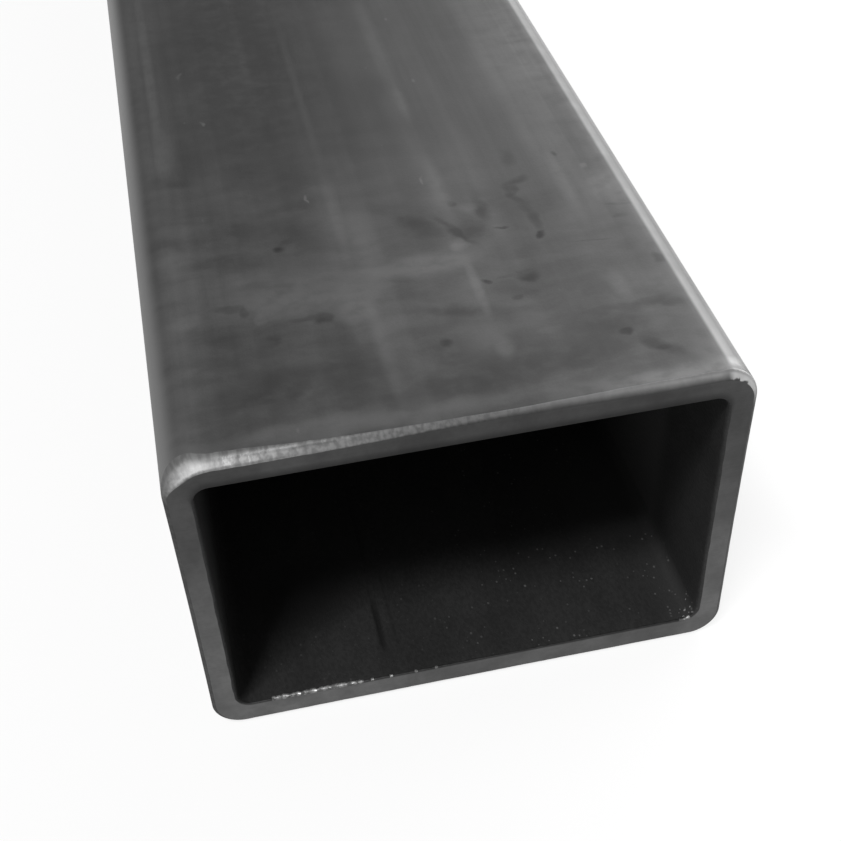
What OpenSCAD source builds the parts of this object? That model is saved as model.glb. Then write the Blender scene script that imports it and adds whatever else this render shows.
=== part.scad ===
// Rectangular steel tube: a cold-formed, seam-welded hollow section, sawn to a stock length
// X runs across the wide face, Y along the tube and Z up; it lies on a wide face, centred on the origin

/* [Section] */
// Outside width, across the wide face
tube_width = 60; // [30:1:120]
// Outside height, across the narrow face
tube_height = 40; // [25:1:80]
// Wall thickness of the flats
wall = 3; // [1.5:0.1:5]
// Radius of the four long outside corners
outer_corner_radius = 3.5; // [1.5:0.1:5]
// Radius of the four long inside corners
inner_corner_radius = 1.5; // [0.5:0.1:4]

/* [Length] */
// Sawn length
tube_length = 1000; // [100:10:6000]
// Bevel where the outside edge of each sawn end has been filed, measured along either face
edge_break = 0.7; // [0.2:0.1:1.2]

/* [Hidden] */
$fn = 64;

// Clear opening inside the walls
bore_width = tube_width - 2 * wall;
bore_height = tube_height - 2 * wall;
// How far the bore's cutter stands out of each end
bore_overrun = 5;

// Lays a shape that was drawn upright along the length, with its drawing's Y turned to point up
module along_length() {
    rotate([90, 0, 0])
        children();
}

// Copies a shape to the four corners of a rectangle that is centred on the origin
module at_corners(width, height) {
    for (x = [-width / 2, width / 2], y = [-height / 2, height / 2])
        translate([x, y])
            children();
}

// Flat outline with round corners
module rounded_rectangle(width, height, radius) {
    square([width - 2 * radius, height], center = true);
    square([width, height - 2 * radius], center = true);
    at_corners(width - 2 * radius, height - 2 * radius)
        circle(radius);
}

// Half of the outline that a bar shows from the side, from its middle line out to a face,
// with the bevels of both ends
module bevelled_half_outline(half_thickness, length, bevel) {
    polygon([
        [0, -length / 2],
        [half_thickness - bevel, -length / 2],
        [half_thickness, -length / 2 + bevel],
        [half_thickness, length / 2 - bevel],
        [half_thickness - bevel, length / 2],
        [0, length / 2]
    ]);
}

// Flat slab between two corner radii, upright, bevelled at both ends of its two wide faces
module bevelled_slab(width, thickness, length, bevel) {
    rotate([90, 0, 0])
        linear_extrude(width, center = true)
            for (side = [0, 1])
                mirror([side, 0])
                    bevelled_half_outline(thickness / 2, length, bevel);
}

// Round bar that makes one long corner, upright, bevelled round both ends
module bevelled_round(radius, length, bevel) {
    rotate_extrude()
        bevelled_half_outline(radius, length, bevel);
}

// Solid bar with rounded long corners and bevelled ends: two crossed slabs and a round in each corner
module bevelled_bar(width, height, radius, length, bevel) {
    bevelled_slab(height - 2 * radius, width, length, bevel);
    rotate([0, 0, 90])
        bevelled_slab(width - 2 * radius, height, length, bevel);
    at_corners(width - 2 * radius, height - 2 * radius)
        bevelled_round(radius, length, bevel);
}

// The whole tube: the bevelled bar with the bore run through it from end to end
module tube() {
    color([0.30, 0.30, 0.31])
        translate([0, 0, tube_height / 2])
            along_length()
                difference() {
                    bevelled_bar(tube_width, tube_height, outer_corner_radius, tube_length, edge_break);
                    linear_extrude(tube_length + 2 * bore_overrun, center = true)
                        rounded_rectangle(bore_width, bore_height, inner_corner_radius);
                }
}

tube();
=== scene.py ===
# %% [markdown]
# # A rectangular steel tube
#
# This lesson dresses one length of rectangular hollow section. The real tube is strip steel, rolled
# into a box, closed by a weld along its length and sawn off square. Its skin is dark mill scale with
# smudges and rolling marks, its cut end is dull, and a bright edge shows where the cut was filed.
# The camera stands close to the near end, a little to the left, and looks down into the opening.

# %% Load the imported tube
import math

import bpy
import numpy as np
from mathutils import Matrix, Vector, noise


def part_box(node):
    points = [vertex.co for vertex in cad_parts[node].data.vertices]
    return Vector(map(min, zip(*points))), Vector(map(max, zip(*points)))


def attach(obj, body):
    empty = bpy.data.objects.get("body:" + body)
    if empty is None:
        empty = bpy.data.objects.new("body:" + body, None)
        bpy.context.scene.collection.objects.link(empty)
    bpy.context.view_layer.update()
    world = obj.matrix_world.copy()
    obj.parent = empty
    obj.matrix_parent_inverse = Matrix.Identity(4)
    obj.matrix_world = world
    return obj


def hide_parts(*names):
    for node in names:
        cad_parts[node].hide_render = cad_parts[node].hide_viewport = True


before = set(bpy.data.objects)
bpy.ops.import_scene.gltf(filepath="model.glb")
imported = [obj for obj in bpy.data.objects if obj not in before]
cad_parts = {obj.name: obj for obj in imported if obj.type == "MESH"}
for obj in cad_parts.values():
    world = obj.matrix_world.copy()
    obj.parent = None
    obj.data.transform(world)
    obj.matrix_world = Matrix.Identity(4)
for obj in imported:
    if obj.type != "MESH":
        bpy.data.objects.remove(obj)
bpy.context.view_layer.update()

# %% [markdown]
# ## Sizes
#
# The outside sizes are read from the CAD model, so the two can't drift apart. The wall, the corner
# radii and the width of the filed edge are the ones that the CAD source names. They are all in
# millimetres here, because that is how a stockholder lists such a tube, and the mesh is brought to
# metres once, at the end.

# %% Sizes in millimetres
MM = 0.001
lowest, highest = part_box("tube")
WIDTH, LENGTH, HEIGHT = [(top - bottom) / MM for bottom, top in zip(lowest, highest)]
WALL = 3.0
OUTER_RADIUS = 3.5
INNER_RADIUS = 1.5
EDGE_BREAK = 0.7
print(f"tube {WIDTH:.1f} x {HEIGHT:.1f} x {LENGTH:.1f} mm, wall {WALL} mm")

# %% [markdown]
# ## Points round the section
#
# Seen from the end, the tube is one rounded rectangle inside another. Both are drawn with the same
# points: each point knows its spot on a small core rectangle and the direction in which the corner
# is rounded from there. Moving out from the core by a radius gives the outside, and moving out from
# the smaller core gives the hollow, so the two outlines pair up point for point. The bottom wall has
# closer points on its left half, where a burr and the weld seam need them.

# %% Points round the section
FLAT_STEP = 0.45
FINE_STEP = 0.17
FINE_FROM = -24.5
FINE_TO = -3.0
CORNER_STEPS = 14


def spread(start, stop, step):
    """Even values from start, and up to but not at stop, about a step apart"""
    count = max(1, round(abs(stop - start) / step))
    return start + (stop - start) * np.arange(count) / count


hollow_half_flat = WIDTH / 2 - WALL - INNER_RADIUS
side_half_flat = HEIGHT / 2 - WALL - INNER_RADIUS
bottom_places = np.concatenate([
    spread(-hollow_half_flat, FINE_FROM, FLAT_STEP),
    spread(FINE_FROM, FINE_TO, FINE_STEP),
    spread(FINE_TO, hollow_half_flat, FLAT_STEP),
]) / hollow_half_flat
wide_places = spread(-1, 1, FLAT_STEP / hollow_half_flat)
side_places = spread(-1, 1, FLAT_STEP / side_half_flat)
flats = [bottom_places, side_places, wide_places, side_places]
corners = [Vector((1, -1)), Vector((1, 1)), Vector((-1, 1)), Vector((-1, -1))]

section = []
for turn_number in range(4):
    facing = math.radians(90 * turn_number - 90)
    for place in flats[turn_number]:
        spot = corners[turn_number - 1].lerp(corners[turn_number], (place + 1) / 2)
        section.append((spot.x, spot.y, math.cos(facing), math.sin(facing), 0.0))
    for angle in spread(0, 90, 90 / CORNER_STEPS):
        spot = corners[turn_number]
        way = facing + math.radians(angle)
        section.append((spot.x, spot.y, math.cos(way), math.sin(way), math.sin(math.radians(2 * angle))))
section = np.array(section)
spots = section[:, 0:2]
outward = section[:, 2:4]
corner_share = section[:, 4]
outer_core = spots * (WIDTH / 2 - OUTER_RADIUS, HEIGHT / 2 - OUTER_RADIUS)
inner_core = spots * (hollow_half_flat, side_half_flat)
print(len(section), "points round the section")

# %% [markdown]
# ## Flats that aren't quite flat
#
# A rolled wall is never a perfect plane. Each flat here sinks by about a tenth of a millimetre
# between its corners and waves a little along the length, and that is enough to bend a reflection
# as a real wall does. It only ever sinks, so the tube keeps its catalogue size.

# %% Hollow and wave of the flats
FLAT_HOLLOW = 0.07
FLAT_WAVE = 0.025
WAVE_STARTS = 12
WAVE_ACROSS = 17
WAVE_ALONG = 55

along_flat = np.where(np.abs(outward[:, 0]) > 0.5, spots[:, 1], spots[:, 0])
flat_share = np.where(corner_share > 0, 0, 1 - along_flat ** 2)
hollow = FLAT_HOLLOW * flat_share


def wave(depth):
    """How far each point sinks at one distance along the tube"""
    away_from_ends = min(1, depth / WAVE_STARTS, (LENGTH - depth) / WAVE_STARTS)
    places = outer_core / WAVE_ACROSS
    rise = [noise.noise(Vector((x, z, depth / WAVE_ALONG))) for x, z in places]
    return FLAT_WAVE * away_from_ends * flat_share * (1 + np.array(rise))


def outer_ring(inset):
    """Outside outline, sunk by an inset that may differ from point to point"""
    return outer_core + outward * (OUTER_RADIUS - inset)[:, None]


def inner_ring(inset):
    """Outline of the hollow, cut back into the wall by an inset"""
    return inner_core + outward * (INNER_RADIUS + inset)[:, None]


print(f"flats sink by up to {hollow.max() + 2 * FLAT_WAVE:.2f} mm")

# %% [markdown]
# ## The burr
#
# A saw drags a little steel over the inside edge as it leaves the cut. On this tube it stays as a row
# of small beads along the left part of the bottom wall, with a few loose ones farther on. Each bead is
# made as a swelling of the rounded inside edge, and noise from a fixed seed gives it its size.

# %% Beads of the burr
BEADS_START = (-23.6, -23.0)
BEADS_END = (-12.1, -13.6)
BEAD_GRAIN = 0.62
CLUMP_GRAIN = 2.1
CLUMP_SHARE = 0.4
SMALLEST_BEAD = 0.6
LOOSE_BEADS = (-11.8, -9.6, -6.6, -4.3, 25.0, 25.5)
LOOSE_BEAD_WIDTH = 0.35
LOOSE_BEAD_SHARE = 0.45


def smooth_step(low, high, value):
    """0 at low, 1 at high, and an even curve between"""
    share = np.clip((value - low) / (high - low), 0, 1)
    return share * share * (3 - 2 * share)


def wobble(grain, seed):
    """Noise round the section, in lumps of about a grain, between -1 and 1"""
    places = spots * (WIDTH / 2, HEIGHT / 2) / grain
    return np.array([noise.noise(Vector((x, z, seed))) for x, z in places])


def beads(seed):
    """How far each point is on a bead of the burr, along the inside edge of the bottom wall"""
    across = inner_core[:, 0]
    row = smooth_step(*BEADS_START, across) * smooth_step(*BEADS_END, across)
    lumps = wobble(BEAD_GRAIN, seed) + CLUMP_SHARE * wobble(CLUMP_GRAIN, seed + 4)
    size = row * (SMALLEST_BEAD + (1 - SMALLEST_BEAD) * smooth_step(-0.4, 0.3, lumps))
    for middle in LOOSE_BEADS:
        near = smooth_step(LOOSE_BEAD_WIDTH, 0, np.abs(across - middle))
        size = np.maximum(size, LOOSE_BEAD_SHARE * near)
    return size * (outward[:, 1] < -0.9)


print(f"burr from {BEADS_START[0]} to {BEADS_END[1]} mm, and {len(LOOSE_BEADS)} loose beads")

# %% [markdown]
# ## The filed bevel
#
# Someone ran a file round the outside edge and pressed harder in some places than in others. The bevel
# is widest and flattest round the top left corner, narrow in the middle of the top, and ragged at the
# top right corner. Its reach into the cut is worked out from the edge break that the CAD source names,
# and its reach along the tube from that.

# %% Size of the bevel round the section
FILED_ALL_ROUND = 0.6
MORE_ON_TOP = 0.2
MORE_AT_LEFT = 0.58
MORE_AT_RIGHT = 0.4
CORNER_NEARS = -0.943
MORE_BESIDE_CORNER = 0.4
MORE_ROUND_CORNER = 0.65
RAGGED_SHARE = 0.35
RAGGED_GRAIN = 0.5
SLOW_GRAIN, SLOW_SHARE = 6.3, 0.08
QUICK_GRAIN, QUICK_SHARE = 0.9, 0.07
STEEP_BEVEL = 0.9
FLATTER_AT_LEFT = 0.8

side_place = spots[:, 0]
facing_up = np.clip(outward[:, 1], 0, 1)
facing_down = np.clip(-outward[:, 1], 0, 1)


def bevel(seed):
    """How far the bevel reaches into the cut, and along the tube, at each point"""
    at_left = smooth_step(0.2, -0.8, side_place) * facing_up
    at_right = smooth_step(0.1, 0.8, side_place) * facing_up
    filed = FILED_ALL_ROUND + MORE_ON_TOP * facing_up + MORE_AT_LEFT * at_left + MORE_AT_RIGHT * at_right
    beside_corner = np.clip((CORNER_NEARS - side_place) / (1 + CORNER_NEARS), 0, 1) ** 2
    filed = filed + MORE_BESIDE_CORNER * beside_corner * facing_up
    filed = filed + MORE_ROUND_CORNER * corner_share * (facing_up > 0) * (side_place < 0)
    right_corner = smooth_step(0.93, 1.0, side_place) * smooth_step(0, 0.4, facing_up)
    filed = filed * (1 + RAGGED_SHARE * right_corner * wobble(RAGGED_GRAIN, seed + 7))
    uneven = 1 + SLOW_SHARE * wobble(SLOW_GRAIN, seed) + QUICK_SHARE * wobble(QUICK_GRAIN, seed + 5)
    into_cut = EDGE_BREAK * filed * uneven
    flatter = smooth_step(-0.4, -1.0, side_place) * facing_up * (1 - 0.3 * corner_share)
    return into_cut, into_cut * (STEEP_BEVEL + FLATTER_AT_LEFT * flatter)


print("bevel measured at", len(side_place), "points")

# %% [markdown]
# ## A sawn end
#
# Each end is a stack of rings that goes down the bevel, across the cut and round the inside edge. The
# bevel starts with a gentle shoulder, runs straight and turns over into the cut, as a filed edge does.
# The inside edge is only rounded over, raggedly along the bottom wall. Other seeds make the two ends
# differ.

# %% Rings of a sawn end
BEVEL_TILTS = np.radians((6, 12, 18, 25, 34, 34, 35, 35, 35, 36, 52, 70))
BEVEL_STEPS = (5, 5, 5, 4, 4, 4, 4, 4, 4, 3, 3, 3)
CUT_STEPS = (0.05, 0.2, 0.35, 0.5, 0.65, 0.8, 0.95)
CUT_GRAIN = 2.9
CUT_RELIEF = 0.012
LIP_ANGLES = range(0, 91, 15)
LIP_LENGTH = 1.7
LIP_SIZE = 0.36
LESS_LIP_BELOW = 0.65
LESS_LIP_ABOVE = 0.92
LIP_GRAIN, LIP_SHARE = 1.7, 0.2
RAGGED_LIP_GRAIN, RAGGED_LIP = 0.45, 0.08
BEAD_SIZE = 0.17
BURR_SEED = 9
NEAR_SEED = 2.5
FAR_SEED = 40.5

downs = np.concatenate([[0], np.cumsum(np.sin(BEVEL_TILTS) * BEVEL_STEPS)])
backs = np.concatenate([[0], np.cumsum(np.cos(BEVEL_TILTS) * BEVEL_STEPS)])


def rounded_lip(seed):
    """Size of the rounded inside edge at each point, with the burr on it"""
    lip = LIP_SIZE * (1 - LESS_LIP_BELOW * facing_down) * (1 - LESS_LIP_ABOVE * facing_up)
    lip = lip * (1 + LIP_SHARE * wobble(LIP_GRAIN, seed + 3))
    lip = lip + RAGGED_LIP * facing_down * wobble(RAGGED_LIP_GRAIN, seed + 8)
    return lip + BEAD_SIZE * beads(seed + BURR_SEED)


def sawn_end(seed):
    """Outlines of one end from the outside in, each with its depth and the finish that follows it"""
    bevel_in, bevel_along = bevel(seed)
    lip = rounded_lip(seed)
    rings = []
    for down, back in zip(downs / downs[-1], 1 - backs / backs[-1]):
        rings.append((outer_ring(hollow + bevel_in * down), bevel_along * back, "filed"))
    rings[-1] = rings[-1][:2] + ("cut",)
    cut_outside = outer_ring(hollow + bevel_in)
    cut_inside = inner_ring(lip)
    for step in CUT_STEPS:
        uneven_cut = CUT_RELIEF * (1 + wobble(CUT_GRAIN, seed + 11 + step))
        rings.append((cut_outside + (cut_inside - cut_outside) * step, uneven_cut, "cut"))
    for angle in LIP_ANGLES:
        left = 1 - math.sin(math.radians(angle))
        back = 1 - math.cos(math.radians(angle))
        rings.append((inner_ring(lip * left), LIP_LENGTH * lip * back, "lip"))
    rings[-1] = rings[-1][:2] + ("inside",)
    return rings


near_end = sawn_end(NEAR_SEED)
far_end = sawn_end(FAR_SEED)
print(len(near_end), "rings at each end")

# %% [markdown]
# ## The weld seam
#
# The strip's two edges meet in a weld that runs the whole length. Outside, the mill planes it off and
# it can't be told from the wall. Inside, a flattened bead stays, with a fine groove on either side.
# It is pressed out of the floor of the hollow and dies away at the saw cut, where the blade and the
# burr have dragged over it.

# %% Weld seam on the inside floor
SEAM_LEFT = -9.5
SEAM_RIGHT = -7.75
SEAM_RISE = 0.1
GROOVE_DEPTH = 0.10
GROOVE_WIDTH = 0.2
RIGHT_GROOVE_SHARE = 0.2
SEAM_STARTS = 3.0
SEAM_FULL = 6.5

inside_x = inner_core[:, 0]
bead = SEAM_RISE * smooth_step(SEAM_LEFT - 0.1, SEAM_LEFT + 0.4, inside_x)
bead = bead * (1 - smooth_step(SEAM_RIGHT - 0.4, SEAM_RIGHT + 0.1, inside_x))
left_groove = np.exp(-((inside_x - SEAM_LEFT) / GROOVE_WIDTH) ** 2)
right_groove = np.exp(-((inside_x - SEAM_RIGHT) / GROOVE_WIDTH) ** 2)
grooves = GROOVE_DEPTH * (left_groove + RIGHT_GROOVE_SHARE * right_groove)
seam_shape = np.where(outward[:, 1] < -0.99, bead - grooves, 0)


def inside_outline(depth):
    """Outline of the hollow at one distance along the tube, with the seam on its floor"""
    from_end = min(depth, LENGTH - depth)
    raised = seam_shape * smooth_step(SEAM_STARTS, SEAM_FULL, from_end)
    return inner_ring(-raised)


print(f"seam stands {SEAM_RISE} mm out of the floor, {SEAM_RIGHT - SEAM_LEFT:.2f} mm wide")

# %% [markdown]
# ## One closed skin
#
# The rings are put in order: along the outside, over the far end, back along the hollow and out over
# the near end to the start. Joining each ring to the next makes one watertight skin of quads, with no
# stray face anywhere. Its volume is worked out and printed: it should be close to the CAD model's.

# %% Join the rings into one skin
OUTSIDE_STATIONS = (2.4, 2.8, 3.5, 4.7, 6.5, 9, 12, 16, 21, 27, 34, 42, 52, 64, 78, 95,
                    115, 140, 175, 220, 280, 350, 430)
INSIDE_STATIONS = (1.5, 2, 2.8, 3.6, 4.4, 5.2, 6, 7, 9, 12, 16, 22, 30, 42, 60, 90, 140, 220, 350)


def both_halves(stations):
    """Stations from one end to the other, with the second half mirroring the first"""
    return list(stations) + [LENGTH / 2] + [LENGTH - depth for depth in reversed(stations)]


loop = []
for depth in both_halves(OUTSIDE_STATIONS):
    loop.append((outer_ring(hollow + wave(depth)), np.full(len(section), depth), "skin", 0))
for number, (outline, depth, finish) in enumerate(far_end):
    loop.append((outline, LENGTH - depth, finish, number))
for depth in reversed(both_halves(INSIDE_STATIONS)):
    loop.append((inside_outline(depth), np.full(len(section), depth), "inside", 0))
for number in reversed(range(len(near_end))):
    outline, depth, finish = near_end[number]
    finish_after = near_end[number - 1][2] if number else "skin"
    loop.append((outline, depth, finish_after, number))

ring_count, point_count = len(loop), len(section)
points = np.zeros((ring_count, point_count, 3))
for number, (outline, depth, finish, place) in enumerate(loop):
    points[number, :, 0] = outline[:, 0]
    points[number, :, 1] = depth - LENGTH / 2
    points[number, :, 2] = outline[:, 1] + HEIGHT / 2
ring, point = np.meshgrid(np.arange(ring_count), np.arange(point_count), indexing="ij")
next_ring, next_point = (ring + 1) % ring_count, (point + 1) % point_count
quads = np.stack([
    ring * point_count + point,
    next_ring * point_count + point,
    next_ring * point_count + next_point,
    ring * point_count + next_point,
], axis=-1).reshape(-1, 4)

tube_mesh = bpy.data.meshes.new("tube_skin")
tube_mesh.from_pydata((points.reshape(-1, 3) * MM).tolist(), [], quads.tolist())
tube_mesh.polygons.foreach_set("use_smooth", [True] * len(quads))
tube = bpy.data.objects.new("tube_skin", tube_mesh)
bpy.context.scene.collection.objects.link(tube)
flat_points = points.reshape(-1, 3)
first, second, third, fourth = (flat_points[quads[:, corner]] for corner in range(4))
volume = np.einsum("ij,ij->i", first, np.cross(second, third)).sum() / 6
volume += np.einsum("ij,ij->i", first, np.cross(third, fourth)).sum() / 6
print(f"{2 * len(quads)} triangles, {volume / 1000:.1f} cm3 of steel")

# %% [markdown]
# ## Unwrapping
#
# When the model is shared, its finish is baked into one square picture. The tube is a metre long and
# all of the interest is at its near end, so the skin is unrolled with given shares: the wide top face
# and the first part of the length get most of the picture, and each sawn end is a strip of its own.

# %% Unroll the skin
LENGTH_SHARES = ((0, 0), (130, 0.5), (LENGTH - 60, 0.9), (LENGTH, 1))
FACE_SHARES = {"bottom": 0.7, "side": 1.0, "top": 2.2}
ISLANDS = {
    "skin": (0.004, 0.004, 0.556, 0.996),
    "inside": (0.566, 0.004, 0.806, 0.996),
    "near": (0.816, 0.004, 0.916, 0.996),
    "far": (0.926, 0.004, 0.996, 0.996),
}

face_share = np.where(outward[:, 1] > 0.7, FACE_SHARES["top"], FACE_SHARES["side"])
face_share = np.where(outward[:, 1] < -0.7, FACE_SHARES["bottom"], face_share)
outline = outer_ring(hollow)
steps_round = np.linalg.norm(np.roll(outline, -1, axis=0) - outline, axis=1) * face_share
round_share = np.concatenate([[0], np.cumsum(steps_round)]) / steps_round.sum()


def corner_places(island, start, end):
    """Places on the picture of a band of quads, in the order of their corners"""
    left, bottom, right, top = ISLANDS[island]
    here, after = round_share[:-1], round_share[1:]
    around = np.stack([here, here, after, after], axis=1)
    across = np.tile([start, end, end, start], (point_count, 1))
    if island in ("near", "far"):
        around, across = across, around
    return np.stack([left + (right - left) * around, bottom + (top - bottom) * across], axis=-1)


unrolled = []
last_ring = len(near_end) - 1
for number, (outline, depth, finish, place) in enumerate(loop):
    following = loop[(number + 1) % ring_count]
    if finish in ("skin", "inside"):
        ends = [np.interp(each.mean(), *zip(*LENGTH_SHARES)) for each in (depth, following[1])]
        unrolled.append(corner_places(finish, *ends))
    else:
        island = "near" if depth.mean() < LENGTH / 2 else "far"
        unrolled.append(corner_places(island, place / last_ring, following[3] / last_ring))
picture_places = tube_mesh.uv_layers.new(name="OFBake")
picture_places.data.foreach_set("uv", np.concatenate(unrolled).reshape(-1))
print("unrolled", len(ISLANDS), "islands")

# %% [markdown]
# ## Helpers for materials
#
# Materials are built from nodes. These helpers add one node and link or set its inputs, so that each
# material below reads as a list of what happens to the steel.

# %% Helpers for nodes
def wire(tree, node, inputs):
    """Links the inputs of a node that come from other nodes, and sets the rest"""
    for name, value in dict(inputs).items():
        if isinstance(value, bpy.types.NodeSocket):
            tree.links.new(value, node.inputs[name])
        else:
            node.inputs[name].default_value = value


def add(tree, kind, inputs=(), **settings):
    """Adds a node with its settings and inputs"""
    made = tree.nodes.new("ShaderNode" + kind)
    for name, value in settings.items():
        setattr(made, name, value)
    wire(tree, made, inputs)
    return made


def work_out(tree, operation, *values):
    """One sum on plain values"""
    return add(tree, "Math", enumerate(values), operation=operation).outputs[0]


def on_places(tree, operation, *values):
    """One sum on places, which have three numbers each"""
    return add(tree, "VectorMath", enumerate(values), operation=operation).outputs[0]


def times(tree, first, second):
    """One value times another: of two masks, white only where both are white"""
    return work_out(tree, "MULTIPLY", first, second)


def fade(tree, value, low, high, start=0.0, end=1.0):
    """Carries a value from low to high over to start and end, along an even curve"""
    inputs = {"Value": value, "From Min": low, "From Max": high, "To Min": start, "To Max": end}
    return add(tree, "MapRange", inputs, interpolation_type="SMOOTHSTEP").outputs[0]


def start_group(name, **takes):
    """A new node group with one output, and inputs that are places or plain values"""
    group = bpy.data.node_groups.new(name, "ShaderNodeTree")
    for socket_name, value in takes.items():
        kind = "NodeSocketVector" if isinstance(value, tuple) else "NodeSocketFloat"
        socket = group.interface.new_socket(socket_name.capitalize(), in_out="INPUT", socket_type=kind)
        socket.default_value = value
    group.interface.new_socket("Result", in_out="OUTPUT", socket_type="NodeSocketFloat")
    return group, group.nodes.new("NodeGroupInput").outputs


def give(group, value):
    """Sends a value to the output of a node group"""
    group.links.new(value, group.nodes.new("NodeGroupOutput").inputs[0])


def use(tree, group, **inputs):
    """Places a node group in a material and gives its output"""
    made = tree.nodes.new("ShaderNodeGroup")
    made.node_tree = group
    wire(tree, made, {name.capitalize(): value for name, value in inputs.items()})
    return made.outputs[0]


print("helpers ready")

# %% [markdown]
# ## Clouds and flecks
#
# Two patterns of noise come back from finish to finish, so each is a node group that is built once. A
# cloud is soft noise that can be stretched, and gives blotches, rolling lines, saw marks and file
# strokes. Flecks are sparse dots, such as chips in the scale and crumbs.

# %% Cloud and fleck groups
FLECK_EDGE = (-0.08, 0.05)

cloud, given = start_group(
    "Cloud", place=(0, 0, 0), spread=(1, 1, 1), detail=3.0, low=0.3, high=0.7)
scaled = on_places(cloud, "MULTIPLY", given["Place"], given["Spread"])
soft = add(cloud, "TexNoise", {"Vector": scaled, "Scale": 1.0, "Detail": given["Detail"]})
give(cloud, fade(cloud, soft.outputs[0], given["Low"], given["High"]))

fleck, given = start_group("Fleck", place=(0, 0, 0), spread=(1, 1, 1), share=0.1, size=0.3)
scaled = on_places(fleck, "MULTIPLY", given["Place"], given["Spread"])
cells = add(fleck, "TexVoronoi", {"Vector": scaled, "Scale": 1.0})
chosen = add(fleck, "SeparateColor", {0: cells.outputs["Color"]})
picked = work_out(fleck, "LESS_THAN", chosen.outputs[0], given["Share"])
reach = times(fleck, given["Size"], chosen.outputs[1])
past_reach = work_out(fleck, "SUBTRACT", cells.outputs["Distance"], reach)
near_middle = fade(fleck, past_reach, *FLECK_EDGE, 1.0, 0.0)
give(fleck, times(fleck, picked, near_middle))
print("groups:", cloud.name, "and", fleck.name)

# %% [markdown]
# ## Smudges and outlines
#
# Two more groups say where on the tube a finish changes. A smudge is one soft patch of a chosen size at
# a chosen place, for the marks that the photo shows. The other gives the distance past a rounded
# rectangle, and finds the bevel by the outside of the tube and the rim of the cut by its hollow.

# %% Smudge and outline groups
smudge, given = start_group(
    "Smudge", place=(0, 0, 0), middle=(0, 0, 0), reach=(1, 1, 1), turn=0.0, softness=0.5)
moved = on_places(smudge, "SUBTRACT", given["Place"], given["Middle"])
turned = add(smudge, "VectorRotate", {"Vector": moved, "Angle": given["Turn"]}, rotation_type="Z_AXIS")
shrunk = on_places(smudge, "DIVIDE", turned.outputs[0], given["Reach"])
away = add(smudge, "VectorMath", {0: shrunk}, operation="LENGTH").outputs["Value"]
inner = work_out(smudge, "SUBTRACT", 1.0, given["Softness"])
outer = work_out(smudge, "ADD", 1.0, given["Softness"])
give(smudge, fade(smudge, away, inner, outer, 1.0, 0.0))

past_outline, given = start_group("Past outline", place=(0, 0, 0), core=(1, 0, 1), radius=1.0)
flat = on_places(past_outline, "MULTIPLY_ADD", given["Place"], (1, 0, 1), (0, 0, -HEIGHT / 2))
folded = on_places(past_outline, "ABSOLUTE", flat)
beyond = on_places(past_outline, "SUBTRACT", folded, given["Core"])
beyond = on_places(past_outline, "MAXIMUM", beyond, (0, 0, 0))
length = add(past_outline, "VectorMath", {0: beyond}, operation="LENGTH").outputs["Value"]
give(past_outline, work_out(past_outline, "SUBTRACT", length, given["Radius"]))
OUTSIDE = {"core": (WIDTH / 2 - OUTER_RADIUS, 0, HEIGHT / 2 - OUTER_RADIUS), "radius": OUTER_RADIUS}
HOLLOW = {"core": (hollow_half_flat, 0, side_half_flat), "radius": INNER_RADIUS}
print("groups:", smudge.name, "and", past_outline.name)

# %% [markdown]
# ## Starting a material
#
# Every finish starts the same way: one shader, and the place on the tube in millimetres, counted
# across from the middle, along from the near end and up from the floor. With real sizes in the
# material, a mark that is read off the photo can be put straight where it belongs. The helpers then lay
# one tone over another, or let a value change from stretch to stretch across the tube.

# %% Start of each finish
def start_finish(name):
    """A new material, its shader and the place on the tube in millimetres"""
    material = bpy.data.materials.new(name)
    material.use_nodes = True
    tree = material.node_tree
    shader = tree.nodes["Principled BSDF"]
    where = add(tree, "TexCoord").outputs["Object"]
    place = on_places(tree, "MULTIPLY_ADD", where, (1 / MM, 1 / MM, 1 / MM), (0, LENGTH / 2, 0))
    return material, tree, shader, place


def sizes(across, along, up):
    """Spread of a cloud whose lumps have these sizes in millimetres"""
    return (1 / across, 1 / along, 1 / up)


def vary(tree, tone, *patterns):
    """Makes a tone lighter where a pattern is white and darker where it is black, by a share of itself"""
    for mask, amount in patterns:
        share = times(tree, work_out(tree, "SUBTRACT", mask, 0.5), amount)
        tone = work_out(tree, "MULTIPLY_ADD", tone, share, tone)
    return tone


def toward(tree, tone, mask, goal):
    """Moves a tone towards a goal where the mask is white"""
    return add(tree, "Mix", {0: mask, 2: tone, 3: goal}, data_type="FLOAT").outputs[0]


def run_across(tree, across, start, stretches):
    """A value that changes across the tube, in stretches that each begin and are done at a place"""
    value = start
    for begins, done, goal in stretches:
        value = toward(tree, value, fade(tree, across, begins, done), goal)
    return value


def split(tree, place):
    """The distances across, along and up that make up a place"""
    return add(tree, "SeparateXYZ", {0: place}).outputs[:]


def cloudy(tree, place, lumps, detail, **limits):
    """A cloud whose lumps have these sizes across, along and up"""
    return use(tree, cloud, place=place, spread=sizes(*lumps), detail=detail, **limits)


def end_finish(tree, shader, tone, rough, relief, strength, depth):
    """Gives the shader a neutral grey of a tone, a roughness and a fine relief"""
    colour = add(tree, "CombineColor", {0: tone, 1: tone, 2: tone}).outputs[0]
    bump = add(tree, "Bump", {"Strength": strength, "Distance": depth, "Height": relief}).outputs[0]
    wire(tree, shader, {"Base Color": colour, "Roughness": rough, "Normal": bump})


print("finishes are measured in millimetres from the near end")

# %% [markdown]
# ## Marks on the top face
#
# These are the marks that can be made out in the photo: long streaks that the rolls left, dull
# patches, and finger and oil smudges near the end. Each is a row of the lists below.

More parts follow.
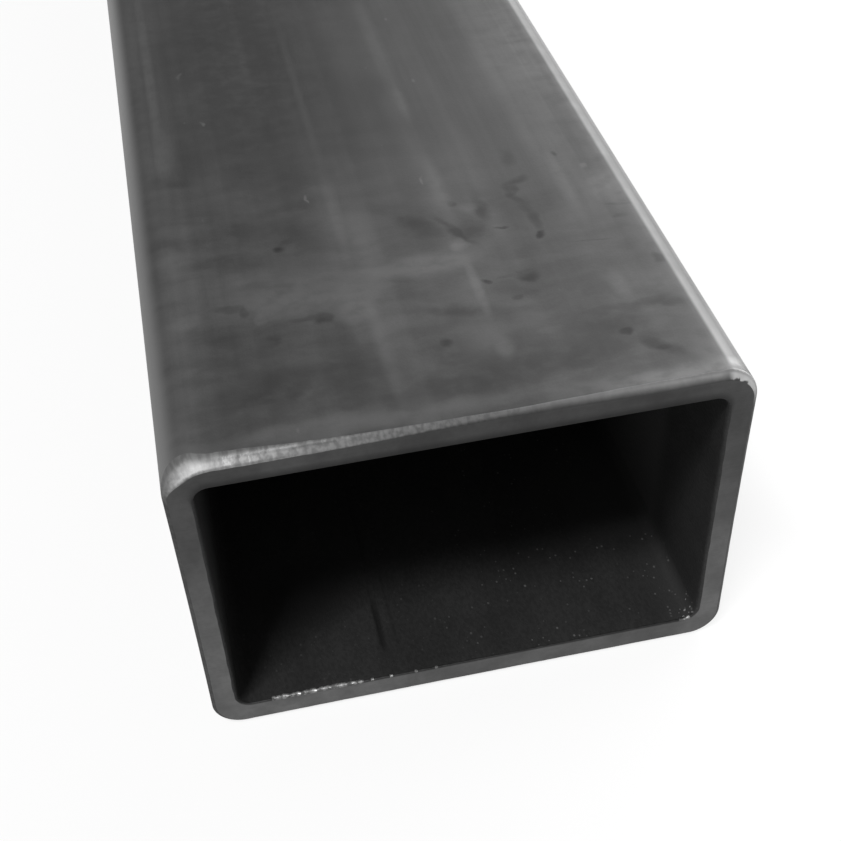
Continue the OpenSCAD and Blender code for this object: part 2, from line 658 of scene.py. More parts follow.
# %% Marks read off the photo, in millimetres and degrees
# Each row: across, along, reach across, reach along, turn to the right, strength, softness
DARK_MARKS = [
    (-12.5, 84, 8.5, 40, 0, 0.52, 0.7),
    (-19, 36, 3.2, 8.5, 0, 0.38, 0.8),
    (-12.5, 37, 4.2, 7.5, 0, 0.35, 0.8),
    (-14.5, 9, 10, 4.6, 0, 0.48, 0.7),
    (-19, 8.4, 2.2, 1.7, 0, 0.65, 0.8),
    (-15.8, 8, 1.7, 1.2, 0, 0.65, 0.8),
    (6.5, 6.2, 13.5, 2.6, -8, 0.55, 0.6),
    (18, 11, 4.2, 2.4, 0, 0.5, 0.6),
    (-20.6, 23.9, 1.7, 0.6, 0, 0.65, 0.6),
    (-19.4, 23.2, 0.55, 1, 0, 0.9, 0.5),
    (-13.7, 33.3, 0.9, 0.7, -20, 1, 0.8),
    (-12.5, 34.3, 1.6, 1, -25, 0.6, 0.7),
    (-11.2, 19.7, 0.9, 0.7, -20, 0.95, 0.5),
    (-12.8, 20, 1.9, 0.45, 8, 0.65, 0.6),
    (-16.6, 17.2, 1.2, 0.8, 0, 0.65, 0.6),
    (-22.2, 18.4, 2.2, 1.2, 0, 0.3, 0.8),
    (-21.5, 13.8, 2.6, 1.2, 0, 0.3, 0.8),
    (-24.6, 50.8, 2.6, 1.1, 0, 0.4, 0.8),
    (-21.5, 60, 1.2, 9, 0, 0.3, 0.8),
    (2.4, 34.2, 3.1, 1.3, 45, 0.55, 0.8),
    (6.5, 31.7, 3.2, 0.55, 64, 0.7, 0.7),
    (8.4, 31.6, 1.9, 2.2, 0, 0.6, 0.8),
    (10.3, 35.8, 1.2, 2.6, 0, 0.65, 0.7),
    (17, 24, 6, 12, 0, 0.18, 0.9),
    (1, 10.6, 2.6, 1.8, 0, 0.55, 0.8),
    (7.5, 37.3, 0.6, 0.7, 0, 0.6, 0.6),
    (11.3, 31.1, 0.8, 0.25, 0, 0.65, 0.5),
    (15.3, 40.1, 1.1, 0.6, -8, 0.6, 0.7),
    (14.5, 38.2, 0.7, 1.8, 0, 0.62, 0.7),
    (15.1, 35.3, 0.65, 2.3, -15, 0.62, 0.7),
    (15.75, 32, 0.6, 2.2, 0, 0.62, 0.7),
    (15.6, 28.9, 0.6, 0.75, 0, 1, 0.6),
    (15.6, 45.4, 0.8, 1.7, 0, 0.45, 0.7),
    (21.8, 44.8, 0.4, 0.6, 0, 0.65, 0.5),
    (11.6, 21.3, 1.6, 1, -6, 0.85, 0.6),
    (9.5, 21.7, 1, 0.4, 0, 0.6, 0.6),
    (7, 21.1, 0.5, 0.5, 0, 0.8, 0.5),
    (9.7, 18.3, 0.9, 0.4, -10, 0.7, 0.5),
    (11.5, 18.6, 1.6, 0.5, 0, 0.4, 0.6),
    (3.2, 17.4, 4.2, 0.8, 14, 0.5, 0.8),
    (-1.5, 24, 1.5, 0.7, 10, 0.35, 0.6),
    (0.9, 11.9, 0.6, 0.8, -10, 1, 0.8),
    (-0.2, 10.4, 1.1, 1, -30, 0.45, 0.8),
    (0.9, 9.4, 2.2, 1.3, 0, 0.45, 0.6),
    (18.8, 9.5, 1, 0.65, 0, 0.85, 0.5),
    (21.6, 6.3, 2.4, 0.7, 45, 0.6, 0.7),
    (22, 5.8, 0.8, 0.6, 30, 0.8, 0.6),
    (19.6, 12.8, 3, 1.5, 0, 0.4, 0.7),
    (25.4, 12.8, 1.3, 0.7, 10, 0.6, 0.6),
    (22.5, 13.6, 2.5, 0.8, 0, 0.45, 0.6),
    (26.4, 20.7, 0.8, 0.9, 0, 0.9, 0.5),
    (25.5, 32, 1.6, 0.25, 4, 0.6, 0.5),
    (25, 29.8, 0.8, 0.4, 0, 0.5, 0.6),
    (20.5, 25.9, 2.4, 0.25, 8, 0.45, 0.6),
    (10.6, 37, 2.6, 2.4, 0, 0.35, 0.8),
    (10.8, 20.2, 2.8, 2.2, 0, 0.35, 0.8),
    (19.4, 35, 2.6, 4, 0, 0.25, 0.9),
    (19, 18.4, 2.8, 2.4, 0, 0.28, 0.9),
    (-8, 25.9, 2, 1.8, 0, 0.28, 0.8),
    (14.5, 4, 3, 1, -8, 0.25, 0.8),
    (-12.7, 4.2, 2.5, 1, 0, 0.15, 0.8),
]
LIGHT_MARKS = [
    (-25.7, 34, 1.4, 2.4, 0, 0.48, 0.7),
    (-18.5, 28.4, 2, 0.8, -20, 0.4, 0.8),
    (-12.5, 24.5, 7.6, 4, 0, 0.45, 0.5),
    (1.5, 26.4, 6, 2.2, 0, 0.5, 0.5),
    (-25.6, 22.8, 1.6, 1.1, 0, 0.5, 0.5),
    (-17.5, 21.5, 0.8, 1.2, 0, 0.45, 0.5),
    (-7.5, 20, 2.3, 1.8, 0, 0.5, 0.5),
    (6.2, 29.2, 0.8, 1, 0, 0.6, 0.7),
    (25.4, 36, 1.6, 3.5, 0, 0.5, 0.6),
    # Painted highlight: this band along the near edge stands in for the reflection where the top bends
    # down.
    (-12, 2.2, 13, 1.3, 0, 0.35, 0.7),
    (-27.2, 3, 1.3, 4.2, 0, 0.5, 0.8),
    (-17.6, 28.4, 2.6, 2, 0, 0.32, 0.8),
    (24.8, 16.8, 1.6, 1.8, 0, 0.25, 0.8),
    (-3.8, 4, 2, 1, 0, 0.2, 0.8),
    (26, 3, 2, 2.6, 0, 0.5, 0.8),
    (4, 12.5, 2.5, 2.8, 0, 0.2, 0.8),
    (8.7, 36, 0.8, 0.9, 0, 0.35, 0.8),
    (-9.3, 43, 0.18, 0.9, 0, 0.9, 0.5),
    (4.9, 43.2, 0.13, 0.9, 0, 0.6, 0.5),
    (24.2, 41, 0.3, 0.4, 0, 0.4, 0.6),
    (-19.5, 64, 0.2, 0.7, 0, 0.6, 0.5),
    (-21.4, 78, 0.25, 0.7, 0, 0.4, 0.6),
]
STREAKS = [
    (-25.2, 78, 0.6, 25, 0, 0.4, 0.7),
    (-25, 59, 0.9, 7, 0, 0.35, 0.7),
    (-6.4, 38, 0.7, 8, 0, 0.4, 0.9),
    (-4.4, 32, 1.4, 6.5, 0, 0.3, 0.9),
    (-5.6, 14, 0.7, 8, 0, 0.35, 0.8),
    (-6.3, 68, 0.4, 18, 0, 0.18, 0.9),
    (6.4, 41.5, 0.8, 6, 0, 0.4, 0.8),
    (6.1, 21, 0.5, 4.6, 0, 0.55, 0.7),
    (6.3, 10, 0.8, 1.6, 0, 0.4, 0.8),
    (6.3, 63, 0.6, 4, 0, 0.36, 0.9),
    (6.2, 80, 0.9, 13, 0, 0.25, 0.9),
    (20.9, 38, 0.8, 7, 0, 0.4, 0.8),
    (20.9, 17, 0.8, 2.2, 0, 0.45, 0.8),
    (25.2, 74, 2.2, 16, 0, 0.45, 0.8),
    (23.5, 85, 4.5, 40, 0, 0.25, 0.8),
    (-27.4, 75, 1, 40, 0, 0.25, 0.9),
    (26.5, 40, 1.5, 70, 0, 0.28, 0.9),
]
print(len(DARK_MARKS), "dark marks,", len(LIGHT_MARKS), "light ones and", len(STREAKS), "streaks")

# %% [markdown]
# ## Rolled skin
#
# Mill scale is the thin, dark oxide that hot steel grows. Broad blotches, long rolling lines and a fine
# grain run through it, and the marks above are laid on its top. Two layers of noise push the marks about
# first, so that soft ovals get torn outlines.

# %% Pattern of the rolled skin
COARSE_WARP = (6.0, 3.0)
FINE_WARP = (1.5, 0.7)
TOP_HEIGHTS = (HEIGHT - 1.5, HEIGHT - 0.4)
ENDLESS = 1e6

rolled_skin, tree, shader, place = start_finish("rolled_skin")
across, along, height = split(tree, place)
warped = place
for size, reach in (COARSE_WARP, FINE_WARP):
    swirl = add(tree, "TexNoise", {"Vector": place, "Scale": 1 / size, "Detail": 2.0}).outputs["Color"]
    swirl = on_places(tree, "SUBTRACT", swirl, (0.5, 0.5, 0.5))
    warped = on_places(tree, "MULTIPLY_ADD", swirl, (reach, reach, 0), warped)


def lay_marks(marks, ground):
    """The strongest of a list of marks at each place"""
    total = 0.0
    for across, along, reach_across, reach_along, turn, strength, softness in marks:
        mask = use(tree, smudge, place=ground, middle=(across, along, 0), turn=math.radians(turn),
                   reach=(reach_across, reach_along, ENDLESS), softness=softness)
        total = work_out(tree, "MAXIMUM", total, times(tree, mask, strength))
    return total


on_top = fade(tree, height, *TOP_HEIGHTS)
broken = cloudy(tree, place, (2.2, 1.6, 2.2), 3.0, low=0.25, high=0.6)
broken = work_out(tree, "MULTIPLY_ADD", broken, 0.5, 0.5)
spotted = times(tree, on_top, broken)
dark_marks = times(tree, lay_marks(DARK_MARKS, warped), spotted)
light_marks = times(tree, lay_marks(LIGHT_MARKS, warped), spotted)
streaks = times(tree, lay_marks(STREAKS, place), spotted)
blotches = cloudy(tree, place, (10, 26, 10), 3.0)
patches = cloudy(tree, warped, (7.0, 2.8, 7.0), 4.0)
rolling_lines = cloudy(tree, place, (0.55, 260, 0.55), 3.0)
broad_lines = cloudy(tree, place, (3.4, 420, 3.4), 2.0)
grain = cloudy(tree, place, (0.22, 0.3, 0.22), 3.0)
chips = use(tree, fleck, place=place, spread=sizes(1.8, 4.0, 1.8), share=0.05, size=0.16)
print("pattern of the rolled skin:", len(tree.nodes), "nodes")

# %% [markdown]
# ## Tone and painted highlights of the rolled skin
#
# The layers go on from broad to fine, and the painted highlights come last. The right corner is painted
# light along the tube as the highlight it catches, brightest near the end, and the left edge gets a
# fainter painted sheen that grows lighter farther off. Beside the sawn end, a painted glint sits on the
# right corner and a painted sheen lies along the top's near edge, on the right. The skin is nearly all
# metal, so that it shines as dark steel does.

# %% Tone and painted highlights of the rolled skin
SCALE_TONE = 0.062
DARK_TONE = 0.026
LIGHT_TONE = 0.112
RIM_HIGHLIGHT_START = 0.155
RIM_HIGHLIGHT_TONE = 0.42
NEAR_EDGE_SHEEN_TONE = 0.145
LEFT_SHEEN_TONE = 0.2
SKIN_ROUGHNESS = 0.42
HANDLED_ALONG = (60.0, 25.0)
CORNER_BEGINS = (0.05, 0.7)
RIM_BEGINS = (0.42, 1.0)
RIGHT_HALF = (-5.0, 5.0)
RIM_HIGHLIGHT_ACROSS = (WIDTH / 2 - 1.8, WIDTH / 2 - 0.1)
RIM_HIGHLIGHT_ALONG = (16.0, 4.0)
MORE_HIGHLIGHT_NEAR_END = 1.16
CORNER_GLINT = {"middle": (WIDTH / 2 - 2.2, 1.3, 0), "reach": (1.1, 1.0, ENDLESS), "softness": 0.9}
NEAR_EDGE_SHEEN_ACROSS = (6.0, 22.0)
NEAR_EDGE_SHEEN_ALONG = (3.4, 0.8)
LEFT_SHEEN_ACROSS = (2.4 - WIDTH / 2, 0.3 - WIDTH / 2)
LEFT_SHEEN_ALONG = (30.0, 90.0)
LIGHTER_FAR_OFF = 1.3

handled = fade(tree, along, *HANDLED_ALONG, 0.3, 1.0)
tone = vary(tree, SCALE_TONE, (blotches, 0.2), (times(tree, patches, handled), 0.3),
            (rolling_lines, 0.05), (broad_lines, 0.16), (grain, 0.06))
tone = toward(tree, tone, dark_marks, DARK_TONE)
tone = toward(tree, tone, light_marks, LIGHT_TONE)
tone = toward(tree, tone, streaks, LIGHT_TONE)
tone = toward(tree, tone, times(tree, chips, 0.6), LIGHT_TONE)
from_side = work_out(tree, "ABSOLUTE", across)
from_side = work_out(tree, "SUBTRACT", from_side, WIDTH / 2 - OUTER_RADIUS)
from_top = work_out(tree, "ABSOLUTE", work_out(tree, "SUBTRACT", height, HEIGHT / 2))
from_top = work_out(tree, "SUBTRACT", from_top, HEIGHT / 2 - OUTER_RADIUS)
past_flats = work_out(tree, "MINIMUM", from_side, from_top)
on_corner = fade(tree, past_flats, *CORNER_BEGINS)
on_rim = fade(tree, past_flats, *RIM_BEGINS)
# Painted highlight: the rim of the right corner is painted light along the tube, brightest near the end.
rim_highlight = fade(tree, across, *RIM_HIGHLIGHT_ACROSS, RIM_HIGHLIGHT_START, RIM_HIGHLIGHT_TONE)
rim_highlight = times(tree, rim_highlight, fade(tree, along, *RIM_HIGHLIGHT_ALONG, 1.0, MORE_HIGHLIGHT_NEAR_END))
tone = toward(tree, tone, times(tree, on_rim, fade(tree, across, *RIGHT_HALF)), rim_highlight)
# Painted glint on the right corner, just beside the sawn end.
corner_glint = use(tree, smudge, place=warped, **CORNER_GLINT)
tone = toward(tree, tone, times(tree, corner_glint, on_rim), RIM_HIGHLIGHT_TONE)
# Painted sheen along the top's near edge, on the right.
near_edge_sheen = times(tree, fade(tree, across, *NEAR_EDGE_SHEEN_ACROSS), fade(tree, along, *NEAR_EDGE_SHEEN_ALONG))
tone = toward(tree, tone, times(tree, near_edge_sheen, broken), NEAR_EDGE_SHEEN_TONE)
# Painted sheen along the left edge, lighter farther from the end.
left_sheen = times(tree, fade(tree, across, *LEFT_SHEEN_ACROSS), on_corner)
left_sheen_tone = fade(tree, along, *LEFT_SHEEN_ALONG, LEFT_SHEEN_TONE, LIGHTER_FAR_OFF * LEFT_SHEEN_TONE)
tone = toward(tree, tone, left_sheen, left_sheen_tone)
rough = vary(tree, SKIN_ROUGHNESS, (patches, 0.16), (rolling_lines, 0.12))
wire(tree, shader, {"Metallic": 0.9, "Specular IOR Level": 0.3, "Specular Tint": (0.55, 0.55, 0.55, 1)})
end_finish(tree, shader, tone, rough, grain, strength=0.1, depth=0.00002)
print("rolled skin:", len(tree.nodes), "nodes")

# %% [markdown]
# ## Sawn cut
#
# The blade leaves a matt face with faint lines, dull where cutting oil has dried on it. It is painted
# lighter low down than at the top, as painted light from below, and painted shade darkens it softly
# towards the hollow, most of all along the top wall.

# %% Sawn cut
CUT_TONE = 0.045
CUT_LOW_TONE = 0.095
CUT_ROUGHNESS = 0.5
CUT_HEIGHTS = (HEIGHT - 2, 4.0)
RIM_HEIGHTS = (HEIGHT - 7, HEIGHT - 2.5)
LIGHTER_AT_LEFT = 1.14
CUT_STRETCHES = [(-26.0, 4.0, 0.84), (22.0, 28.0, 1.06)]

sawn_cut, tree, shader, place = start_finish("sawn_cut")
across, along, height = split(tree, place)
stains = cloudy(tree, place, (4.5, 4.5, 4.5), 4.0)
mottle = cloudy(tree, place, (0.7, 0.7, 0.7), 4.0)
saw_lines = cloudy(tree, place, (14, 14, 0.3), 3.0)
# Painted light: the cut is lighter low down than at the top.
tone = fade(tree, height, *CUT_HEIGHTS, CUT_TONE, CUT_LOW_TONE)
tone = times(tree, tone, run_across(tree, across, LIGHTER_AT_LEFT, CUT_STRETCHES))
# Painted shade: the cut darkens towards the hollow, most along the top wall.
from_hollow = use(tree, past_outline, place=place, **HOLLOW)
hollow_shade_reach = fade(tree, height, *RIM_HEIGHTS, 0.4, 1.1)
hollow_shade_share = fade(tree, height, *RIM_HEIGHTS, 0.2, 0.4)
tone = times(tree, tone, fade(tree, from_hollow, 0.05, hollow_shade_reach, hollow_shade_share, 1.0))
tone = vary(tree, tone, (stains, 0.35), (mottle, 0.2), (saw_lines, 0.06))
rough = vary(tree, CUT_ROUGHNESS, (mottle, 0.2))
relief = work_out(tree, "ADD", saw_lines, mottle)
wire(tree, shader, {"Metallic": 0.7})
end_finish(tree, shader, tone, rough, relief, strength=0.15, depth=0.00003)
print("sawn cut:", len(tree.nodes), "nodes")

# %% [markdown]
# ## Filed edge
#
# Where the file or the blade has just been, the steel is bare, and short strokes across the edge break
# its shine into beads. Along the top its tone goes from bright at the left to grey in the middle, and
# gets lighter again at the right: this is painted highlight, following the lamps' reflection on the
# bevel. The bevel's shoulder and its turn into the cut are painted darker, as painted shade. These
# changes are lists of stretches, each of which begins at one place across the tube and is done at
# another.

# %% Filed edge from left to right
CORNER_TONE = 0.21
BARE_TONE = 0.18
EDGE_OF_CUT_TONE = 0.055
EDGE_TONES = [
    (-26.0, -12.0, BARE_TONE),
    (-15.0, -4.0, 0.125),
    (3.0, 22.0, 0.225),
    (3.8 - WIDTH / 2, 2.6 - WIDTH / 2, 0.24),
    (2.4 - WIDTH / 2, 1.0 - WIDTH / 2, 0.19),
]
EDGE_WIDTHS = [(6.0, -22.0, 1.1), (-25.0, -28.0, 1.5), (3.0, 21.0, 0.85)]
TURN_STARTS = [(16.0, -10.0, 0.8)]
SHOULDER_FULL = [(-8.0, -16.0, 0.15)]
SHOULDER_ENDS = [(-8.0, -16.0, 0.45), (-25.0, -28.0, 0.6)]
SHOULDER_TONES = [(-6.0, 12.0, 0.19), (-25.0, -28.0, 0.13)]

filed_edge, tree, shader, place = start_finish("filed_edge")
across, along, height = split(tree, place)
# Painted highlight: the bevel's tone from left to right follows the lamps' reflection.
tone = run_across(tree, across, CORNER_TONE, EDGE_TONES)
inset = times(tree, use(tree, past_outline, place=place, **OUTSIDE), -1.0)
filed_share = work_out(tree, "DIVIDE", inset, run_across(tree, across, 0.55, EDGE_WIDTHS))
# Painted shade on the bevel's shoulder and on its turn into the cut.
shoulder_ends = run_across(tree, across, 0.3, SHOULDER_ENDS)
on_shoulder = fade(tree, filed_share, shoulder_ends, run_across(tree, across, 0.0, SHOULDER_FULL))
tone = toward(tree, tone, on_shoulder, run_across(tree, across, 0.1, SHOULDER_TONES))
to_cut = fade(tree, filed_share, run_across(tree, across, 0.0, TURN_STARTS), 1.05)
tone = toward(tree, tone, to_cut, EDGE_OF_CUT_TONE)
print("filed edge from left to right:", len(tree.nodes), "nodes")

# %% [markdown]
# ## Rim, sides and burr of the filed edge
#
# At the right corner the rim's painted highlight runs on over the bevel to the cut and ends in a ragged
# line. The sides and the underside were hardly filed and stay dark. The burr along the inside edge has
# the same bare steel, in light and dark beads.

# %% Rim, sides and burr of the filed edge
RIM_TONE = 0.44
SIDE_TONE = 0.06
RIM_ACROSS = (WIDTH / 2 - 3.5, WIDTH / 2 - 2.6)
RIM_ENDS = (1.3, 0.95)
RIM_SHOULDER = (0.0, 0.4)
SIDE_HEIGHTS = (HEIGHT - 2, HEIGHT - 5)
UNDERSIDE_HEIGHTS = (4.0, 1.0)
BURR_HEIGHTS = (5.0, 4.0)
BURR_INSETS = (1.5, 2.0)
STROKE_DEPTHS = [(-4.0, 12.0, 0.06)]
EDGE_ROUGHNESS = 0.38
DULLER_CORNERS = [(WIDTH / 2 - 5.0, WIDTH / 2 - 2.5, 0.5), (6.8 - WIDTH / 2, 5.0 - WIDTH / 2, 0.55)]

ragged = cloudy(tree, place, (0.8, 0.8, 0.8), 3.0)
ragged = work_out(tree, "MULTIPLY_ADD", ragged, 0.5, filed_share)
# Painted highlight: the right corner's rim highlight carried over the bevel to the cut.
on_rim = times(tree, fade(tree, across, *RIM_ACROSS), fade(tree, ragged, *RIM_ENDS))
tone = toward(tree, tone, on_rim, fade(tree, filed_share, *RIM_SHOULDER, 0.5 * RIM_TONE, RIM_TONE))
tone = toward(tree, tone, fade(tree, height, *SIDE_HEIGHTS), SIDE_TONE)
tone = toward(tree, tone, fade(tree, height, *UNDERSIDE_HEIGHTS), 0.5 * SIDE_TONE)
on_burr = times(tree, fade(tree, height, *BURR_HEIGHTS), fade(tree, inset, *BURR_INSETS))
beaded = cloudy(tree, place, (0.45, 0.45, 0.45), 2.0, low=0.4, high=0.6)
tone = toward(tree, tone, on_burr, fade(tree, beaded, 0.0, 1.0, 0.5 * BARE_TONE, BARE_TONE))
strokes = cloudy(tree, place, (0.5, 6, 0.5), 2.0, low=0.36, high=0.64)
dull = cloudy(tree, place, (2.2, 2.2, 2.2), 3.0)
tone = vary(tree, tone, (strokes, run_across(tree, across, 0.35, STROKE_DEPTHS)), (dull, 0.15))
rough = vary(tree, run_across(tree, across, EDGE_ROUGHNESS, DULLER_CORNERS), (strokes, 0.1))
wire(tree, shader, {"Metallic": 1.0, "Anisotropic": 0.6, "Anisotropic Rotation": 0.25})
end_finish(tree, shader, tone, rough, strokes, strength=0.12, depth=0.00003)
print("filed edge:", len(tree.nodes), "nodes")

# %% [markdown]
# ## Inside of the tube
#
# No roll and no hand has touched the inside, so its scale is rougher and duller than the outside's.
# Loose flecks of scale lie on the floor, with a heap of crumbs in the right corner. Painted light
# brightens the low right wall near the end and the right side farther in, and a painted shadow darkens
# the floor at the left. The grooves beside the weld seam are painted darker, as the shade that falls in
# them. All of their tones are shares of the scale's own.

# %% Inside of the tube
INSIDE_TONE = 0.0135
INSIDE_ROUGHNESS = 0.65
FLECK_SHARE = 7
CRUMB_SHARE = 16
SHADOW_PATCH_SHARE = 0.4
GROOVE_SHADE_SHARE = 0.2
FLECKS_ACROSS = (-6.0, 14.0)
FLOOR_HEIGHTS = (5.0, 3.4)
LOW_RIGHT_LIGHT_SHARE = 1.7
LOW_RIGHT_LIGHT = {"across": (21.0, 26.0), "height": (7.0, 3.5), "along": (22.0, 4.0)}
FAR_RIGHT_LIGHT_SHARE = 2.4
FAR_RIGHT_LIGHT_ACROSS = (10.0, 26.0)
FAR_RIGHT_LIGHT_ALONG = ((13.0, 17.0), (40.0, 24.0))
HEAP = {"middle": (26.0, 1.7, 3.6), "reach": (1.4, 2.0, 1.2), "softness": 0.7}
SHADOW_PATCH = {"middle": (-17.6, 14.8, 3.0), "reach": (5.6, 4.8, 6.0), "softness": 0.6}
GROOVE_SHADE_ALONG = ((2.5, 5.5), (14.0, 9.0))
GROOVE_SHADE_LINES = ((SEAM_LEFT, 0.36, 0.95), (SEAM_RIGHT, 0.3, 0.15))

inside_scale, tree, shader, place = start_finish("inside_scale")
across, along, height = split(tree, place)
blotches = cloudy(tree, place, (6, 14, 6), 4.0)
grain = cloudy(tree, place, (0.35, 0.6, 0.35), 3.0)
tone = vary(tree, INSIDE_TONE, (blotches, 0.4), (grain, 0.4))
# Painted light on the low right wall near the end.
low_right_light = times(tree, fade(tree, across, *LOW_RIGHT_LIGHT["across"]), fade(tree, height, *LOW_RIGHT_LIGHT["height"]))
low_right_light = times(tree, low_right_light, fade(tree, along, *LOW_RIGHT_LIGHT["along"]))
tone = toward(tree, tone, low_right_light, LOW_RIGHT_LIGHT_SHARE * INSIDE_TONE)
flecks = use(tree, fleck, place=place, spread=sizes(0.62, 0.8, 0.62), share=0.55, size=0.24)
strewn = cloudy(tree, place, (4, 4, 4), 2.0, low=0.3, high=0.65)
strewn = times(tree, strewn, fade(tree, across, *FLECKS_ACROSS, 0.25, 1.0))
strewn = times(tree, strewn, fade(tree, height, *FLOOR_HEIGHTS))
tone = toward(tree, tone, times(tree, flecks, strewn), FLECK_SHARE * INSIDE_TONE)
crumbs = use(tree, fleck, place=place, spread=sizes(0.45, 0.45, 0.45), share=0.7, size=0.42)
heap = times(tree, crumbs, use(tree, smudge, place=place, **HEAP))
tone = toward(tree, tone, heap, CRUMB_SHARE * INSIDE_TONE)
# Painted shadow on the floor at the left, where the left wall shades it.
tone = toward(tree, tone, use(tree, smudge, place=place, **SHADOW_PATCH), SHADOW_PATCH_SHARE * INSIDE_TONE)
# Painted light on the right side, 13 to 40 mm from the end.
far_right_light = fade(tree, across, *FAR_RIGHT_LIGHT_ACROSS)
for stretch in FAR_RIGHT_LIGHT_ALONG:
    far_right_light = times(tree, far_right_light, fade(tree, along, *stretch))
tone = toward(tree, tone, far_right_light, FAR_RIGHT_LIGHT_SHARE * INSIDE_TONE)
on_seam = fade(tree, height, HEIGHT / 2, 5.0)
for stretch in GROOVE_SHADE_ALONG:
    on_seam = times(tree, on_seam, fade(tree, along, *stretch))
# Painted shade in the grooves beside the weld seam.
for seam_edge, reach, strength in GROOVE_SHADE_LINES:
    groove_shade = use(tree, smudge, place=place, middle=(seam_edge, 0, 0), reach=(reach, ENDLESS, ENDLESS),
               softness=0.7)
    groove_shade = times(tree, times(tree, groove_shade, on_seam), strength)
    tone = toward(tree, tone, groove_shade, GROOVE_SHADE_SHARE * INSIDE_TONE)
wire(tree, shader, {"Metallic": 0.0, "Specular IOR Level": 0.25})
end_finish(tree, shader, tone, INSIDE_ROUGHNESS, grain, strength=0.4, depth=0.00005)
print("inside of the tube:", len(tree.nodes), "nodes")

# %% [markdown]
# ## Dressing the tube
#
# One skin carries all four finishes, each on its own quads, because the real tube is one piece of
# steel. The inside edge is bare only where the burr's beads are. The skin takes the place of the CAD
# model's node and rides on the same body.

# %% Give each part of the skin its finish
FINISHES = {"skin": 0, "cut": 1, "filed": 2, "lip": 2, "inside": 3}
SMALLEST_BARE_BEAD = 0.25
for material in (rolled_skin, sawn_cut, filed_edge, inside_scale):
    tube_mesh.materials.append(material)
finish_numbers = np.repeat([FINISHES[finish] for outline, depth, finish, place in loop], point_count)
on_lip = np.repeat([finish == "lip" for outline, depth, finish, place in loop], point_count)
bead_shares = np.tile(beads(NEAR_SEED + BURR_SEED), ring_count)
on_side = np.tile(np.abs(outward[:, 1]) < 0.7, ring_count)
plain_lip = np.where(on_side, FINISHES["inside"], FINISHES["cut"])
finish_numbers = np.where(on_lip & (bead_shares < SMALLEST_BARE_BEAD), plain_lip, finish_numbers)
tube_mesh.polygons.foreach_set("material_index", finish_numbers.astype(np.int32))
tube_mesh.update()
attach(tube, "root")
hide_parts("tube")
print("finishes:", [material.name for material in tube_mesh.materials])

# %% [markdown]
# ## Floor
#
# The tube lies on a plain white floor, which keeps a faint shadow. To the camera, and in reflections, the
# floor glows, and farther off it fades into the white around it, so that no view shows where it ends. It
# lies a hair below the tube, so that the two don't share a plane.

# %% Floor
FLOOR_HALF = 6.0
FLOOR_DROP = 0.00005
FLOOR_GLOW = 0.8
FADE_FROM = 1.0
FADE_TO = 2.4


def seen(tree):
    """White for the rays that show a background: from the camera, and off metal and through glass"""
    rays = add(tree, "LightPath").outputs
    shown = work_out(tree, "MAXIMUM", rays["Is Camera Ray"], rays["Is Glossy Ray"])
    return work_out(tree, "MAXIMUM", shown, rays["Is Transmission Ray"])


floor_corners = [(corner.x * FLOOR_HALF, corner.y * FLOOR_HALF, -FLOOR_DROP) for corner in corners]
floor_mesh = bpy.data.meshes.new("floor")
floor_mesh.from_pydata(floor_corners, [], [(0, 1, 2, 3)])
floor = bpy.data.objects.new("floor", floor_mesh)
bpy.context.scene.collection.objects.link(floor)
floor_paper = bpy.data.materials.new("floor_paper")
floor_paper.use_nodes = True
tree = floor_paper.node_tree
paper = tree.nodes["Principled BSDF"]
wire(tree, paper, {"Base Color": (0.95, 0.95, 0.95, 1), "Roughness": 0.9})
glow = add(tree, "Emission", {"Color": (1, 1, 1, 1), "Strength": 1.0})
from_tube = add(tree, "VectorMath", {0: add(tree, "TexCoord").outputs["Object"]}, operation="LENGTH")
glow_share = fade(tree, from_tube.outputs["Value"], FADE_FROM, FADE_TO, FLOOR_GLOW, 1.0)
glow_share = times(tree, seen(tree), glow_share)
blend = add(tree, "MixShader", {0: glow_share, 1: paper.outputs[0], 2: glow.outputs[0]})
wire(tree, tree.nodes["Material Output"], {"Surface": blend.outputs[0]})
floor_mesh.materials.append(floor_paper)
print("floor", 2 * FLOOR_HALF, "m wide")

# %% [markdown]
# ## Light
#
# A small, strong lamp stands in front, to the left and high up: it lights the bevel and the first few
# millimetres of the inside floor. A wide, soft lamp behind and to the right brightens that side of the
# top. A dim sky fills the rest, and looks white only where it is seen.

# %% Lamps and sky
KEY_WAY = Vector((-0.32, -0.345, 0.893))
KEY = {"distance": 2.5, "width": 0.7, "depth": 0.35, "power": 51}
SIDE_AZIMUTH = 47
SIDE_RISE = 22
SIDE = {"distance": 2.2, "width": 2.7, "depth": 1.5, "power": 46}
SKY_FILL = 0.22


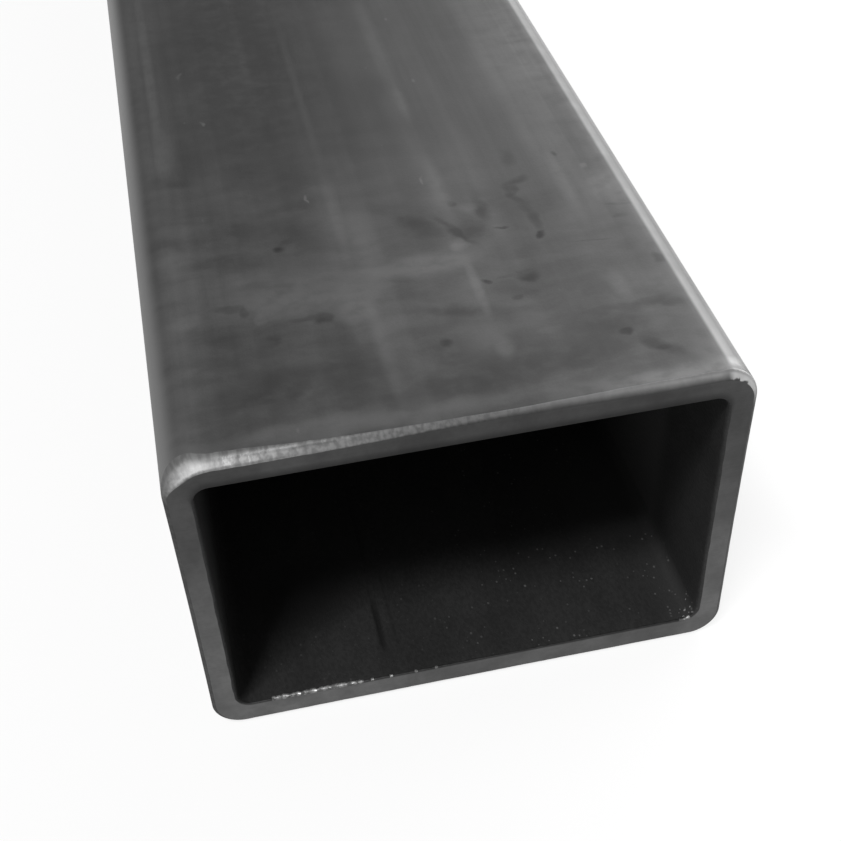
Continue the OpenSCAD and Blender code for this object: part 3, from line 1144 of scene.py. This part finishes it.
def lamp(name, way, distance, width, depth, power):
    """A flat lamp that shines at the tube's near end from a way and a distance"""
    light = bpy.data.lights.new(name, "AREA")
    light.shape = "RECTANGLE"
    light.size = width
    light.size_y = depth
    light.energy = power
    made = bpy.data.objects.new(name, light)
    made.location = Vector((0, -LENGTH * MM / 2, HEIGHT * MM / 2)) + way.normalized() * distance
    made.rotation_euler = way.to_track_quat("Z", "Y").to_euler()
    bpy.context.scene.collection.objects.link(made)


def way_from(azimuth, height):
    """Direction from the tube: azimuth from straight behind towards the right, height above the floor"""
    turn, rise = math.radians(azimuth), math.radians(height)
    return Vector((math.sin(turn) * math.cos(rise), math.cos(turn) * math.cos(rise), math.sin(rise)))


lamp("key", KEY_WAY, **KEY)
lamp("side", way_from(SIDE_AZIMUTH, SIDE_RISE), **SIDE)

world = bpy.data.worlds.new("sky")
world.use_nodes = True
bpy.context.scene.world = world
tree = world.node_tree
brightness = fade(tree, seen(tree), 0.0, 1.0, SKY_FILL, 1.0)
wire(tree, tree.nodes["Background"], {"Color": (1, 1, 1, 1), "Strength": brightness})
print("lamps:", [thing.name for thing in bpy.data.lights])

# %% [markdown]
# ## Camera
#
# The camera was fitted to the straight edges in the photo. It stands about 14 cm from the near end,
# looks down at 44 degrees and is tilted a little. The lens is shifted, because the photo is a crop.

# %% Camera
VIEW_AZIMUTH = 9.393
VIEW_DROP = 44.283
VIEW_ROLL = -3.5405
LENS = 57.455
SENSOR = 36
SHIFT_X = 0.0122
SHIFT_Y = 0.0820
NEAR_CLIP = 0.01
CAMERA_FROM_END = Vector((-21.61, -94.45, 105.43))

forward = way_from(VIEW_AZIMUTH, -VIEW_DROP)
level = forward.cross(Vector((0, 0, 1))).normalized()
above = level.cross(forward)
roll = math.radians(VIEW_ROLL)
right = level * math.cos(roll) + above * math.sin(roll)
up = right.cross(forward)
lens = bpy.data.cameras.new("camera")
lens.sensor_width = SENSOR
lens.lens = LENS
lens.shift_x = SHIFT_X
lens.shift_y = SHIFT_Y
lens.clip_start = NEAR_CLIP
camera = bpy.data.objects.new("camera", lens)
spot = Vector((0, -LENGTH / 2, HEIGHT / 2)) + CAMERA_FROM_END
camera.matrix_world = Matrix.Translation(spot * MM) @ Matrix((right, up, -forward)).transposed().to_4x4()
bpy.context.scene.collection.objects.link(camera)
bpy.context.scene.camera = camera
bpy.context.scene.view_settings.view_transform = "Standard"
print("camera at", [round(value, 4) for value in camera.location])
